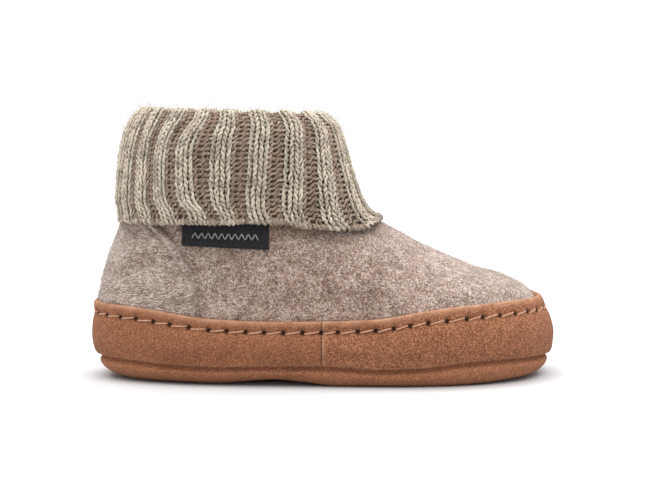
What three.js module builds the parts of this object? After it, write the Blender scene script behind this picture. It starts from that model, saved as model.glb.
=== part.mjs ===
// A child's ankle-high wool slipper for the right foot. A felt upper stands on a padded suede outsole,
// a suede rand in two lengths wraps the joint, a felt counter covers the heel, and a ribbed knit cuff is
// turned down over the collar. Millimetres, +Z up, toe towards +X, outer side of the foot towards -Y.
import * as THREE from "three";

// Driving dimensions. A station is a distance forward from the back of the heel.
const LENGTH = 170;
const BALL_WIDTH = 69;
const COLLAR_HEIGHT = 84;
const CUFF_HEIGHT = 99;

// Thicknesses, and the gap that is left where two pieces meet
const FELT_WALL = 3;
const KNIT_WALL = 2.3;
const COUNTER_WALL = 1.2;
const TAB_WALL = 0.8;
const INSOLE_WALL = 4;
const GAP = 0.35;

// Outsole: its top stands above the rand's lower edge, out of sight; its edge swells below the rand and
// rolls under in steps
const SOLE_HIDDEN = 1;
const SOLE_EDGE_STEPS = 5;
const SOLE_BULGE = 1.5;

// Insole: the play around its edge, and the rounding of its upper edge
const INSOLE_PLAY = 0.8;
const INSOLE_ROUND = 1;

// Rand: where its two lengths meet, in percent of the length, the height of its middle, and how far its
// upright ends keep from the next column
const RAND_JOIN = 49.6;
const RAND_MIDDLE = 18;
const RAND_CLEAR = 5;

// Knit cuff: ribs around it, columns in a rib, the furrow between two ribs, and the share of the perimeter
// from the toe within which the ribs lean
const RIBS = 23;
const RIB_COLUMNS = 4;
const FURROW_COLUMNS = 2;
const FURROW_DEPTH = 1;
const LEAN_END = 0.3;

// Label tab on the outer side: stations of its ends, heights of its edges, and its lean towards the toe
const TAB_BACK = 35.4;
const TAB_FRONT = 65.8;
const TAB_LOW = 49.6;
const TAB_HIGH = 60;
const TAB_DROP = 1.4;
const TAB_COLUMNS = 6;
const TAB_ROWS = 3;

// Heel counter: the height of its top edge under the cuff, and the grid that it is drawn on
const COUNTER_TOP = 56.6;
const COUNTER_COLUMNS = 22;
const COUNTER_ROWS = 7;

// An outline is fuller round the heel than round the toe by this much
const HEEL_FULLNESS = 0.2;

// The arch draws the outline in around a station, in percent of the length, less on the outer side
const WAIST_STATION = 42;
const WAIST_SPREAD = 15;
const WAIST_OUTER_SHARE = 0.35;

// Facets: columns around the foot, and the heights of the upper's rings as shares of its wall
const COLUMNS = 56;
const UPPER_RINGS = [0, 0.1, 0.2, 0.27, 0.33, 0.38, 0.43, 0.48, 0.54, 0.6, 0.66, 0.74, 0.86, 1];

// Level sections of the last, outside the felt. height is in percent of the collar height; back, front and
// wide are stations in percent of the length; half (the half width), waist (how far the arch draws it
// in) and swing (how far the toe turns inwards) are in percent of the ball width; full is 2 for an ellipse.
const LAST_SECTIONS = [
  { height: 4.8, back: 2, front: 98.2, wide: 65.3, half: 48.3, waist: 4.5, swing: 8.5, full: 2.4 },
  { height: 10.7, back: 2, front: 98.2, wide: 65.3, half: 48.3, waist: 4.5, swing: 8.5, full: 2.4 },
  { height: 17.9, back: 1.7, front: 98.3, wide: 65.3, half: 50, waist: 4.2, swing: 8.5, full: 2.4 },
  { height: 28.6, back: 1.6, front: 97.2, wide: 62.9, half: 49.6, waist: 3.6, swing: 8.2, full: 2.4 },
  { height: 33.3, back: 1.8, front: 96, wide: 60.6, half: 48.7, waist: 3, swing: 8, full: 2.35 },
  { height: 38.1, back: 2.4, front: 94.1, wide: 57.1, half: 47.5, waist: 2.5, swing: 7.6, full: 2.3 },
  { height: 42.9, back: 2.9, front: 89.1, wide: 52.9, half: 46.4, waist: 2, swing: 7, full: 2.3 },
  { height: 47.6, back: 3.6, front: 81.5, wide: 48.8, half: 44.9, waist: 1.5, swing: 6, full: 2.25 },
  { height: 54.8, back: 4.7, front: 73.6, wide: 42.4, half: 43.8, waist: 1, swing: 4.5, full: 2.2 },
  { height: 61.9, back: 6.1, front: 66.8, wide: 37.1, half: 43.2, waist: 0.5, swing: 3, full: 2.2 },
  { height: 66.7, back: 6.9, front: 62.5, wide: 34.7, half: 42.8, waist: 0, swing: 2, full: 2.15 },
  { height: 71.4, back: 7.4, front: 58.4, wide: 32.9, half: 42.3, waist: 0, swing: 1, full: 2.15 },
  { height: 78.6, back: 7.6, front: 55, wide: 31.2, half: 42, waist: 0, swing: 0, full: 2.15 },
  { height: 100, back: 7.9, front: 51.8, wide: 30, half: 41.3, waist: 0, swing: 0, full: 2.15 },
];

// Sections of the cuff's skin, from the turned-down hem up its outer face (five rows), over the fold (four)
// and down inside the collar (two). heel and toe are the heights at a section's two ends, in percent of the
// cuff height; dip is its share of the hem's dip; lean is how far its ribs stand away from the toe, in percent
// of the perimeter; the other columns are as for the last.
const CUFF_SECTIONS = [
  { heel: 58.4, toe: 60.2, dip: 1, back: 5.6, front: 62, wide: 34.7, half: 48.3, full: 2.75, lean: 2.2 },
  { heel: 61.8, toe: 62.4, dip: 0.85, back: 5.4, front: 60.5, wide: 34.1, half: 48.7, full: 2.65, lean: 2 },
  { heel: 66.2, toe: 66.7, dip: 0.6, back: 5, front: 58.9, wide: 32.9, half: 48.4, full: 2.55, lean: 1.3 },
  { heel: 76.8, toe: 76.8, dip: 0.25, back: 5.4, front: 56.6, wide: 32.4, half: 47.5, full: 2.4, lean: 0 },
  { heel: 86.9, toe: 86.9, dip: 0, back: 6.3, front: 54.8, wide: 31.8, half: 46.1, full: 2.3, lean: -1 },
  { heel: 92.8, toe: 92, dip: 0, back: 7.6, front: 53.7, wide: 31.2, half: 44.3, full: 2.25, lean: -1.6 },
  { heel: 97.2, toe: 95.8, dip: 0, back: 9.2, front: 51.8, wide: 30.6, half: 41.7, full: 2.2, lean: -1.8 },
  { heel: 99.8, toe: 98, dip: 0, back: 10.9, front: 49.6, wide: 30.6, half: 37.7, full: 2.2, lean: -1.8 },
  { heel: 97.4, toe: 95.8, dip: 0, back: 12.2, front: 48.3, wide: 30.3, half: 33.6, full: 2.15, lean: -1.8 },
  { heel: 91.9, toe: 91.9, dip: 0, back: 12.3, front: 47.8, wide: 30, half: 32.3, full: 2.15, lean: -1.8 },
  { heel: 72.7, toe: 72.7, dip: 0, back: 11.4, front: 49.6, wide: 30.6, half: 32.6, full: 2.15, lean: -1.8 },
];

// The ribs stand closer round the heel: share of all ribs from the toe, and share of the perimeter
const RIB_SPREAD = [
  { at: 0, share: 0 },
  { at: 0.22, share: 0.265 },
  { at: 0.3, share: 0.345 },
  { at: 0.5, share: 0.5 },
];

// How far the cuff's hem dips along the foot, in millimetres, by station in percent of the length
const HEM_DIPS = [
  { at: 0, dip: 0 },
  { at: 38, dip: -0.4 },
  { at: 50, dip: -2.6 },
  { at: 57, dip: -3 },
  { at: 62, dip: 0 },
];

// The rand's lower and upper edges along the foot, in millimetres, by station in percent of the length
const RAND_EDGES = [
  { at: 0, low: 9, high: 27.8 },
  { at: 10, low: 8.4, high: 27.2 },
  { at: 18, low: 7.5, high: 25.7 },
  { at: 27, low: 7.1, high: 24 },
  { at: 39, low: 7.6, high: 23.3 },
  { at: 50, low: 7.8, high: 23.5 },
  { at: 61, low: 6.7, high: 24.3 },
  { at: 70, low: 7.2, high: 26.4 },
  { at: 78, low: 8.7, high: 27.6 },
  { at: 87, low: 9.3, high: 28.2 },
  { at: 100, low: 8.4, high: 28.4 },
];

// Across the rand's height, by share: how far its face stands out from the felt. The lip leans out above
// the groove that the stitches pull in, and the face swells below it.
const RAND_PROFILE = [
  { up: 0, proud: 1.5 },
  { up: 0.08, proud: 2.2 },
  { up: 0.32, proud: 2.5 },
  { up: 0.6, proud: 2.4 },
  { up: 0.76, proud: 1.7 },
  { up: 0.88, proud: 2.1 },
  { up: 0.96, proud: 2 },
  { up: 1, proud: 1.4 },
];

// The outsole's underside along the foot, in millimetres, by station in percent of the length: flats at
// heel and ball, the arch, the toe spring, and how far the edge rolls under (roll)
const SOLE_LINES = [
  { at: 0, under: 1, roll: 7 },
  { at: 10, under: 0, roll: 8 },
  { at: 26, under: 0, roll: 7 },
  { at: 40, under: 1.8, roll: 5.5 },
  { at: 53, under: 0, roll: 4 },
  { at: 77, under: 0, roll: 4 },
  { at: 91, under: 0.8, roll: 4 },
  { at: 100, under: 1.4, roll: 4 },
];

// The counter's front edge by share of its height: a station in millimetres
const COUNTER_EDGE = [
  { at: 0, station: 40 },
  { at: 0.4, station: 39.6 },
  { at: 0.57, station: 37.1 },
  { at: 0.8, station: 32.6 },
  { at: 1, station: 26 },
];

// Reads every number in a table at a value of its key column, on a curve that never overshoots its rows.
function readTable(rows, keyOf, value) {
  const last = rows.length - 1;
  const key = rows.map(keyOf);
  const wanted = THREE.MathUtils.clamp(value, key[0], key[last]);
  let low = 0;
  while (low < last - 1 && wanted > key[low + 1]) {
    low += 1;
  }
  const span = key[low + 1] - key[low];
  const t = (wanted - key[low]) / span;
  const slope = (column, i) => (rows[i + 1][column] - rows[i][column]) / (key[i + 1] - key[i]);
  const tangent = (column, i) => {
    if (i === 0 || i === last) {
      return slope(column, Math.min(i, last - 1));
    }
    const before = slope(column, i - 1);
    const after = slope(column, i);
    return before * after <= 0 ? 0 : (2 * before * after) / (before + after);
  };
  const read = {};
  for (const column of Object.keys(rows[low]).filter((name) => typeof rows[low][name] === "number")) {
    const rise = rows[low + 1][column] - rows[low][column];
    const first = tangent(column, low) * span - rise;
    const second = tangent(column, low + 1) * span - rise;
    read[column] = rows[low][column] + rise * t + t * (1 - t) * ((1 - t) * first - t * second);
  }
  return read;
}

const stationRow = (rows, station) => readTable(rows, (row) => row.at, (100 * station) / LENGTH);
const randEdge = (station) => stationRow(RAND_EDGES, station);
const soleTop = (station) => randEdge(station).low + SOLE_HIDDEN;
const joinStation = (RAND_JOIN * LENGTH) / 100;

// A point of a section's outline, by angle round the foot: 0 is the toe, a quarter turn the inner side, a
// half turn the heel, three quarters the outer side. Height is left at zero.
function outlinePoint(section, angle) {
  const forward = Math.cos(angle);
  const sideways = Math.sin(angle);
  const power = 2 / (section.full + (forward > 0 ? 0 : HEEL_FULLNESS));
  const share = Math.abs(forward) ** power;
  const reach = forward > 0 ? section.front - section.wide : section.back - section.wide;
  const percent = section.wide + share * reach;
  const fromWaist = (percent - WAIST_STATION) / WAIST_SPREAD;
  const sideShare = sideways > 0 ? 1 : WAIST_OUTER_SHARE;
  const drawn = (section.waist ?? 0) * sideShare * Math.exp(-fromWaist * fromWaist);
  const swing = forward > 0 ? (section.swing ?? 0) * share * share : 0;
  const across = Math.sign(sideways) * (section.half - drawn) * Math.abs(sideways) ** power + swing;
  return new THREE.Vector3((percent * LENGTH) / 100, (across * BALL_WIDTH) / 100, 0);
}

// The felt's outside at a height in millimetres and an angle
function lastPoint(height, angle) {
  const section = readTable(LAST_SECTIONS, (row) => row.height, (100 * height) / COLLAR_HEIGHT);
  return outlinePoint(section, angle).setZ(height);
}

// The cuff's skin at a section number, counted from the hem, and an angle
function cuffPoint(number, angle) {
  const section = readTable(CUFF_SECTIONS, (row, i) => i, number);
  const place = outlinePoint(section, angle);
  const percent = (100 * place.x) / LENGTH;
  const forward = (percent - section.back) / (section.front - section.back);
  const level = (CUFF_HEIGHT / 100) * THREE.MathUtils.lerp(section.heel, section.toe, forward);
  return place.setZ(level + section.dip * stationRow(HEM_DIPS, place.x).dip);
}

// A skin's point moved along its normal, outwards where the distance is positive
function offsetPoint(skin, level, angle, distance) {
  const step = 0.01;
  const around = skin(level, angle + step).sub(skin(level, angle - step));
  const upward = skin(level + step, angle).sub(skin(level - step, angle));
  return skin(level, angle).addScaledVector(around.cross(upward).normalize(), distance);
}

// Where a test turns from true to false between two values
function turningPoint(low, high, test) {
  const halvings = 40;
  let yes = low;
  let no = high;
  for (let i = 0; i < halvings; i += 1) {
    const middle = (yes + no) / 2;
    if (test(middle)) {
      yes = middle;
    } else {
      no = middle;
    }
  }
  return (yes + no) / 2;
}

// The height at which the felt, at an angle, meets a line drawn along the foot
const heightOn = (angle, line) =>
  turningPoint(0, COLLAR_HEIGHT, (height) => height < line(lastPoint(height, angle).x));

// The angle on the inner side at which the felt, at a height, reaches a station
const angleAt = (height, station) =>
  turningPoint(0, Math.PI, (angle) => lastPoint(height, angle).x > station);

const range = (count) => Array.from({ length: count }, (_, i) => i);
const steps = (from, to, count) => range(count + 1).map((i) => from + ((to - from) * i) / count);

// The angle at a share of the way along one side of an outline, from the toe to the heel
function sideAngle(outline) {
  const samples = 720;
  const lengths = [0];
  for (let i = 1; i <= samples; i += 1) {
    const from = outline((Math.PI * (i - 1)) / samples);
    const to = outline((Math.PI * i) / samples);
    lengths.push(lengths[i - 1] + from.distanceTo(to));
  }
  return (share) => {
    const wanted = share * lengths[samples];
    const reached = lengths.findIndex((length) => length >= wanted);
    const i = reached < 1 ? 1 : reached;
    const part = (wanted - lengths[i - 1]) / (lengths[i] - lengths[i - 1]);
    return (Math.PI * (i - 1 + part)) / samples;
  };
}

// Angles that stand evenly along a section, mirrored on its two sides, with none at the very toe
function evenAngles(outline, count) {
  const angleAlong = sideAngle(outline);
  const side = range(count / 2).map((k) => angleAlong((k + 0.5) / (count / 2)));
  return [...side, ...side.map((angle) => 2 * Math.PI - angle).reverse()];
}

// Angle on a section of the cuff at a share of all ribs from the toe, less than 0 on the outer side
function ribAngle(number) {
  const angleAlong = sideAngle((angle) => cuffPoint(number, angle));
  const { lean } = CUFF_SECTIONS[number];
  return (rib) => {
    const { share } = readTable(RIB_SPREAD, (row) => row.at, Math.abs(rib));
    const leaning = (lean / 100) * Math.sin(Math.PI * Math.min(1, share / LEAN_END));
    const angle = angleAlong(Math.min(1, 2 * (share + leaning)));
    return rib < 0 ? 2 * Math.PI - angle : angle;
  };
}

const footAngles = evenAngles((angle) => lastPoint(RAND_MIDDLE, angle), COLUMNS);

// A closed solid through section loops of equal length. The loops run round in a ring, or end in caps
// whose strips join each point to its opposite number in the loop.
function loft(loops, ring) {
  const size = loops[0].length;
  const positions = loops.flat().flatMap((place) => [place.x - LENGTH / 2, place.y, place.z]);
  const index = [];
  const quad = (a, b, c, d) => index.push(a, b, c, a, c, d);
  range(ring ? loops.length : loops.length - 1).forEach((i) => {
    const here = i * size;
    const next = ((i + 1) % loops.length) * size;
    range(size).forEach((k) => {
      const after = (k + 1) % size;
      quad(here + k, next + k, next + after, here + after);
    });
  });
  if (!ring) {
    const end = (loops.length - 1) * size;
    range(size / 2 - 1).forEach((k) => {
      const opposite = size - 1 - k;
      quad(k, k + 1, opposite - 1, opposite);
      quad(end + opposite, end + opposite - 1, end + k + 1, end + k);
    });
  }
  const geometry = new THREE.BufferGeometry();
  geometry.setAttribute("position", new THREE.Float32BufferAttribute(positions, 3));
  geometry.setIndex(index);
  return facingOut(geometry);
}

// Turns every face round where the volume that they enclose comes out negative
function facingOut(geometry) {
  const place = geometry.getAttribute("position");
  const corners = geometry.getIndex().array;
  const corner = (i) => new THREE.Vector3().fromBufferAttribute(place, corners[i]);
  let volume = 0;
  for (let i = 0; i < corners.length; i += 3) {
    volume += corner(i).dot(corner(i + 1).cross(corner(i + 2)));
  }
  if (volume < 0) {
    geometry.setIndex([...corners].reverse());
  }
  return geometry;
}

// A wall between two faces: the loop runs up the places of one and back down the places of the other
const wallLoop = (places, outside, inside) => [
  ...places.map(outside),
  ...places.map(inside).reverse(),
];

// Felt upper: one hollow wall from the sole to the collar, open below and above
function upper() {
  const loops = footAngles.map((angle) => {
    const foot = heightOn(angle, (station) => soleTop(station) + GAP);
    const heights = UPPER_RINGS.map((share) => foot + (COLLAR_HEIGHT - foot) * share);
    return wallLoop(
      heights,
      (height) => lastPoint(height, angle),
      (height) => offsetPoint(lastPoint, height, angle, -FELT_WALL),
    );
  });
  return loft(loops, true);
}

// The foot's outline at the felt's lower edge, moved inwards in plan by a distance
function footOutline(angle, inwards) {
  const step = 0.01;
  const height = heightOn(angle, soleTop);
  const along = lastPoint(height, angle + step).sub(lastPoint(height, angle - step));
  const outwards = new THREE.Vector3(along.y, -along.x, 0).normalize();
  return lastPoint(height, angle).addScaledVector(outwards, -inwards);
}

// Padded outsole: a tongue out of sight behind the rand, then an edge that swells out under the rand and
// rolls under to flats at heel and ball, with an arch between them
function outsole() {
  const tongue = [0, SOLE_HIDDEN + GAP / 2].map((drop) =>
    footAngles.map((angle) => {
      const place = footOutline(angle, 0);
      return place.setZ(soleTop(place.x) - drop);
    }),
  );
  const edge = steps(0, Math.PI / 2, SOLE_EDGE_STEPS).map((turn) =>
    footAngles.map((angle) => {
      const { roll } = stationRow(SOLE_LINES, footOutline(angle, 0).x);
      const swell = SOLE_BULGE * Math.cos(turn) ** 2;
      const place = footOutline(angle, roll * (1 - Math.cos(turn)) - swell);
      const { under } = stationRow(SOLE_LINES, place.x);
      const shoulder = soleTop(place.x) - SOLE_HIDDEN - GAP;
      return place.setZ(under + (shoulder - under) * (1 - Math.sin(turn)));
    }),
  );
  return loft([...tongue, ...edge], false);
}

// Insole: a felt pad on the sole, inside the upper
function insole() {
  const edge = FELT_WALL + INSOLE_PLAY;
  const profile = [
    { rise: GAP, inwards: edge },
    { rise: GAP + INSOLE_WALL - INSOLE_ROUND, inwards: edge },
    { rise: GAP + INSOLE_WALL, inwards: edge + INSOLE_ROUND },
  ];
  const rings = profile.map(({ rise, inwards }) =>
    footAngles.map((angle) => {
      const place = footOutline(angle, inwards);
      return place.setZ(soleTop(place.x) + rise);
    }),
  );
  return loft(rings, false);
}

// One length of the rand: a suede strip on the felt between the rand's two edges. Each column gives the
// angle that it follows at a height.
function rand(columns) {
  const loops = columns.map((column) => {
    const angle = column(RAND_MIDDLE);
    const low = heightOn(angle, (station) => randEdge(station).low);
    const high = heightOn(angle, (station) => randEdge(station).high);
    const places = RAND_PROFILE.map(({ up, proud }) => ({ height: low + (high - low) * up, proud }));
    return wallLoop(
      places,
      ({ height, proud }) => offsetPoint(lastPoint, height, column(height), GAP + proud),
      ({ height }) => offsetPoint(lastPoint, height, column(height), GAP),
    );
  });
  return loft(loops, false);
}

// Columns of one length of the rand: upright at its ends on the two sides, along the last between them
function randColumns(station, chosen) {
  const inner = (height) => angleAt(height, station);
  const outer = (height) => 2 * Math.PI - angleAt(height, station);
  const clear = (angle) => Math.abs(lastPoint(RAND_MIDDLE, angle).x - station) > RAND_CLEAR;
  const between = footAngles.filter((angle) => chosen(lastPoint(RAND_MIDDLE, angle).x) && clear(angle));
  return { inner, outer, between: between.map((angle) => () => angle) };
}

function randHeel() {
  const end = joinStation - GAP / 2;
  const { inner, outer, between } = randColumns(end, (station) => station < end);
  return rand([inner, ...between, outer]);
}

function randToe() {
  const end = joinStation + GAP / 2;
  const { inner, outer, between } = randColumns(end, (station) => station > end);
  const half = between.length / 2;
  return rand([outer, ...between.slice(half), ...between.slice(0, half), inner]);
}

// Heel counter: a felt panel laid over the upper from the rand to just under the cuff's hem
function heelCounter() {
  const shares = steps(0, 1, COUNTER_ROWS);
  const lineAt = (share) => (station) =>
    THREE.MathUtils.lerp(randEdge(station).high + GAP, COUNTER_TOP, share);
  const edges = shares.map((share) => {
    const { station } = readTable(COUNTER_EDGE, (row) => row.at, share);
    return angleAt(lineAt(share)(station), station);
  });
  const rows = range(shares.length);
  const loops = steps(-1, 1, COUNTER_COLUMNS).map((across) => {
    const place = (row, distance) => {
      const angle = Math.PI + (Math.PI - edges[row]) * across;
      return offsetPoint(lastPoint, heightOn(angle, lineAt(shares[row])), angle, distance);
    };
    return wallLoop(
      rows,
      (row) => place(row, GAP + COUNTER_WALL),
      (row) => place(row, GAP),
    );
  });
  return loft(loops, false);
}

// Label tab: a bare woven strip on the outer side whose upper edge is caught under the cuff
function labelTab() {
  const loops = steps(TAB_BACK, TAB_FRONT, TAB_COLUMNS).map((station) => {
    const drop = (TAB_DROP * (station - TAB_BACK)) / (TAB_FRONT - TAB_BACK);
    const place = (height, distance) =>
      offsetPoint(lastPoint, height, 2 * Math.PI - angleAt(height, station), distance);
    return wallLoop(
      steps(TAB_LOW - drop, TAB_HIGH, TAB_ROWS),
      (height) => place(height, GAP + TAB_WALL),
      (height) => place(height, GAP),
    );
  });
  return loft(loops, false);
}

// Knit cuff: one wall turned down over the collar, with furrows between its raised ribs
function knitCuff() {
  const columns = RIBS * RIB_COLUMNS;
  const ribMiddle = (RIB_COLUMNS + FURROW_COLUMNS) / 2;
  const numbers = range(CUFF_SECTIONS.length);
  const angleOn = numbers.map(ribAngle);
  const loops = range(columns).map((column) => {
    const turn = (column + 0.5 - ribMiddle) / columns;
    const rib = turn - Math.round(turn);
    const depth = column % RIB_COLUMNS < FURROW_COLUMNS ? FURROW_DEPTH : 0;
    return wallLoop(
      numbers,
      (number) => offsetPoint(cuffPoint, number, angleOn[number](rib), -depth),
      (number) => offsetPoint(cuffPoint, number, angleOn[number](rib), -KNIT_WALL),
    );
  });
  return loft(loops, true);
}

const FINISHES = {
  felt: { color: 0xb0a092, roughness: 0.95 },
  counterFelt: { color: 0xa8998b, roughness: 0.95 },
  knit: { color: 0xb3a68e, roughness: 0.95 },
  suede: { color: 0xb8784e, roughness: 0.9 },
  soleSuede: { color: 0xaa704e, roughness: 0.9 },
  insoleFelt: { color: 0x9a8f86, roughness: 0.95 },
  labelWeave: { color: 0x232328, roughness: 0.8 },
};

function piece(name, geometry, finish) {
  const material = new THREE.MeshStandardMaterial({ metalness: 0, ...FINISHES[finish] });
  const mesh = new THREE.Mesh(geometry, material);
  mesh.name = name;
  return mesh;
}

const slipper = new THREE.Group();
slipper.add(
  piece("outsole", outsole(), "soleSuede"),
  piece("insole", insole(), "insoleFelt"),
  piece("upper", upper(), "felt"),
  piece("heel_counter", heelCounter(), "counterFelt"),
  piece("rand_heel", randHeel(), "suede"),
  piece("rand_toe", randToe(), "suede"),
  piece("knit_cuff", knitCuff(), "knit"),
  piece("label_tab", labelTab(), "labelWeave"),
);

export default slipper;
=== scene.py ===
"""Looks of a child's wool slipper: felt, knit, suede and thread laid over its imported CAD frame."""

import math

import bpy
import numpy as np
from bpy.props import FloatProperty, FloatVectorProperty, IntProperty, PointerProperty
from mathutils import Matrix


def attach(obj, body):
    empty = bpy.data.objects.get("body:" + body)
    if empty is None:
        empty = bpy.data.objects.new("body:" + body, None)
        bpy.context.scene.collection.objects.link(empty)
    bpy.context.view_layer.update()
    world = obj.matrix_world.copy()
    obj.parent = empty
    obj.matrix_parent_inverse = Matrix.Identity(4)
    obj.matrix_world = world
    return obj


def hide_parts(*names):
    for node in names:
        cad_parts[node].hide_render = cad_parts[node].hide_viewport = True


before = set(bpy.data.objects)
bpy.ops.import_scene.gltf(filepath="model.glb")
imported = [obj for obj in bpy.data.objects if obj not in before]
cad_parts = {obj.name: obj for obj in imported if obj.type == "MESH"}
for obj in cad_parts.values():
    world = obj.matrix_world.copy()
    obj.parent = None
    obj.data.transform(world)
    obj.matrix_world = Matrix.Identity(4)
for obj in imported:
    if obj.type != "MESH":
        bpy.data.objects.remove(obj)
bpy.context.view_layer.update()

bl_info = {
    "name": "Wool Slipper",
    "version": (1, 0, 0),
    "blender": (4, 5, 0),
    "location": "View3D > Sidebar > Slipper",
    "description": "Builds a wool slipper piece by piece around its CAD frame",
    "category": "Object",
}

# The last, in millimetres and percent, as the CAD part states it
LENGTH = 170.0
BALL_WIDTH = 69.0
COLLAR_HEIGHT = 84.0
CUFF_HEIGHT = 99.0
FELT_WALL = 3.0
KNIT_WALL = 2.3
GAP = 0.35
HEEL_FULLNESS = 0.2
WAIST_STATION = 42.0
WAIST_SPREAD = 15.0
WAIST_OUTER_SHARE = 0.35
RAND_JOIN = 49.6
SOLE_HIDDEN = 1.0
SOLE_BULGE = 1.5
RAND_MIDDLE = 18.0
RIBS = 23
LEAN_END = 0.3

# height, back, front, wide, half, waist, swing, full
LAST_SECTIONS = np.array([
    (4.8, 2.0, 98.2, 65.3, 48.3, 4.5, 8.5, 2.4),
    (10.7, 2.0, 98.2, 65.3, 48.3, 4.5, 8.5, 2.4),
    (17.9, 1.7, 98.3, 65.3, 50.0, 4.2, 8.5, 2.4),
    (28.6, 1.6, 97.2, 62.9, 49.6, 3.6, 8.2, 2.4),
    (33.3, 1.8, 96.0, 60.6, 48.7, 3.0, 8.0, 2.35),
    (38.1, 2.4, 94.1, 57.1, 47.5, 2.5, 7.6, 2.3),
    (42.9, 2.9, 89.1, 52.9, 46.4, 2.0, 7.0, 2.3),
    (47.6, 3.6, 81.5, 48.8, 44.9, 1.5, 6.0, 2.25),
    (54.8, 4.7, 73.6, 42.4, 43.8, 1.0, 4.5, 2.2),
    (61.9, 6.1, 66.8, 37.1, 43.2, 0.5, 3.0, 2.2),
    (66.7, 6.9, 62.5, 34.7, 42.8, 0.0, 2.0, 2.15),
    (71.4, 7.4, 58.4, 32.9, 42.3, 0.0, 1.0, 2.15),
    (78.6, 7.6, 55.0, 31.2, 42.0, 0.0, 0.0, 2.15),
    (100.0, 7.9, 51.8, 30.0, 41.3, 0.0, 0.0, 2.15),
])

# number from the hem over the fold, heel height, toe height, dip, back, front, wide, half, full, lean
CUFF_SECTIONS = np.array([
    (0, 58.4, 60.2, 1.0, 5.6, 62.0, 34.7, 48.3, 2.75, 2.2),
    (1, 61.8, 62.4, 0.85, 5.4, 60.5, 34.1, 48.7, 2.65, 2),
    (2, 66.2, 66.7, 0.6, 5.0, 58.9, 32.9, 48.4, 2.55, 1.3),
    (3, 76.8, 76.8, 0.25, 5.4, 56.6, 32.4, 47.5, 2.4, 0),
    (4, 86.9, 86.9, 0.0, 6.3, 54.8, 31.8, 46.1, 2.3, -1),
    (5, 92.8, 92.0, 0.0, 7.6, 53.7, 31.2, 44.3, 2.25, -1.6),
    (6, 97.2, 95.8, 0.0, 9.2, 51.8, 30.6, 41.7, 2.2, -1.8),
    (7, 99.8, 98.0, 0.0, 10.9, 49.6, 30.6, 37.7, 2.2, -1.8),
    (8, 97.4, 95.8, 0.0, 12.2, 48.3, 30.3, 33.6, 2.15, -1.8),
    (9, 91.9, 91.9, 0.0, 12.3, 47.8, 30.0, 32.3, 2.15, -1.8),
    (10, 72.7, 72.7, 0.0, 11.4, 49.6, 30.6, 32.6, 2.15, -1.8),
])

# share of all ribs from the toe, share of the perimeter
RIB_SPREAD = np.array([(0.0, 0.0), (0.22, 0.265), (0.3, 0.345), (0.5, 0.5)])
# number from the hem, how far worn ribs near the heel bow, in percent of the perimeter
RIB_BOW = np.array([
    (0, 0.0), (1, 0.0), (2.4, 0.95), (3.3, 1.0), (4.5, 0.1), (5.8, -1.35), (7, -1.5), (10, -1.5),
])
BOW_MIDDLE, BOW_WIDTH = 0.315, 0.05

# station in percent, then millimetres
HEM_DIPS = np.array([(0, 0.0), (38, -0.4), (50, -2.6), (57, -3.0), (62, 0.0)])
RAND_EDGES = np.array([
    (0, 9.0, 27.8), (10, 8.4, 27.2), (18, 7.5, 25.7), (27, 7.1, 24.0), (39, 7.6, 23.3), (50, 7.8, 23.5),
    (61, 6.7, 24.3), (70, 7.2, 26.4), (78, 8.7, 27.6), (87, 9.3, 28.2), (100, 8.4, 28.4),
])
SOLE_LINES = np.array([
    (0, 1.0, 7.0), (10, 0.0, 8.0), (26, 0.0, 7.0), (40, 1.8, 5.5), (53, 0.0, 4.0), (77, 0.0, 4.0),
    (91, 0.8, 4.0), (100, 1.4, 4.0),
])
# share of the rand's height, how proud its face stands
RAND_PROFILE = np.array([
    (0.0, 1.7), (0.05, 2.2), (0.12, 2.45), (0.32, 2.6), (0.6, 2.3), (0.76, 1.9), (0.88, 2.0), (0.97, 1.9),
    (1.0, 1.4),
])
# share of the counter's height, station of its front edge in millimetres
COUNTER_EDGE = np.array([(0.0, 40.0), (0.4, 39.6), (0.57, 37.1), (0.8, 32.6), (1.0, 26.0)])
COUNTER_TOP = 56.6
COUNTER_FOOT = 28.0
COUNTER_WALL = 1.2
HEM_LEVEL = 59.0
FIBRE_TOP = 61.0
HOLE_REACH = 2.0
TAB_BACK, TAB_FRONT = 35.4, 65.8
TAB_LOW, TAB_HIGH, TAB_DROP = 49.6, 60.0, 1.4
TAB_TALL = 10.6
# shares of the tab's length and height
CHEVRON_BACK, CHEVRON_SPAN = 0.12, 0.76
CHEVRON_LOW, CHEVRON_HIGH = 0.26, 0.46
# half the slit at the rand's join, in percent; a stitch's distance from its holes and its slant, in millimetres
JOIN_SLIT = 0.03
STITCH_END, STITCH_SLANT = 0.6, 0.4
# share of the way from the insole's middle to its rim, rise in millimetres
INSOLE_EDGE = ((0.97, 0.0), (1.0, 0.5), (1.0, 2.6), (0.99, 3.5), (0.96, 3.95), (0.9, 4.0))
INSOLE_THICK = 4.0
FLOOR_REACH, FLOOR_LEVEL = 8000.0, -0.2


def tone(red, green, blue):
    """A display colour, 0 to 255, as the linear colour that a shader takes."""
    shares = np.array([red, green, blue]) / 255
    linear = np.where(shares <= 0.04045, shares / 12.92, ((shares + 0.055) / 1.055) ** 2.4)
    return tuple(float(value) for value in linear)


def colour_property(label, description, red, green, blue):
    """A colour that a user may change."""
    look = {"subtype": "COLOR", "size": 3, "min": 0.0, "max": 1.0, "default": tone(red, green, blue)}
    return FloatVectorProperty(name=label, description=description, **look)


def length_property(label, description, millimetres):
    """A length that a user may change."""
    look = {"unit": "LENGTH", "subtype": "DISTANCE", "min": 0.0, "default": millimetres / 1000}
    return FloatProperty(name=label, description=description, **look)


def angle_property(label, description, degrees):
    """An angle that a user may change."""
    return FloatProperty(name=label, description=description, subtype="ANGLE", default=math.radians(degrees))


def number_property(label, description, value):
    """A plain number that a user may change."""
    return FloatProperty(name=label, description=description, min=0.0, default=value)


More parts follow.
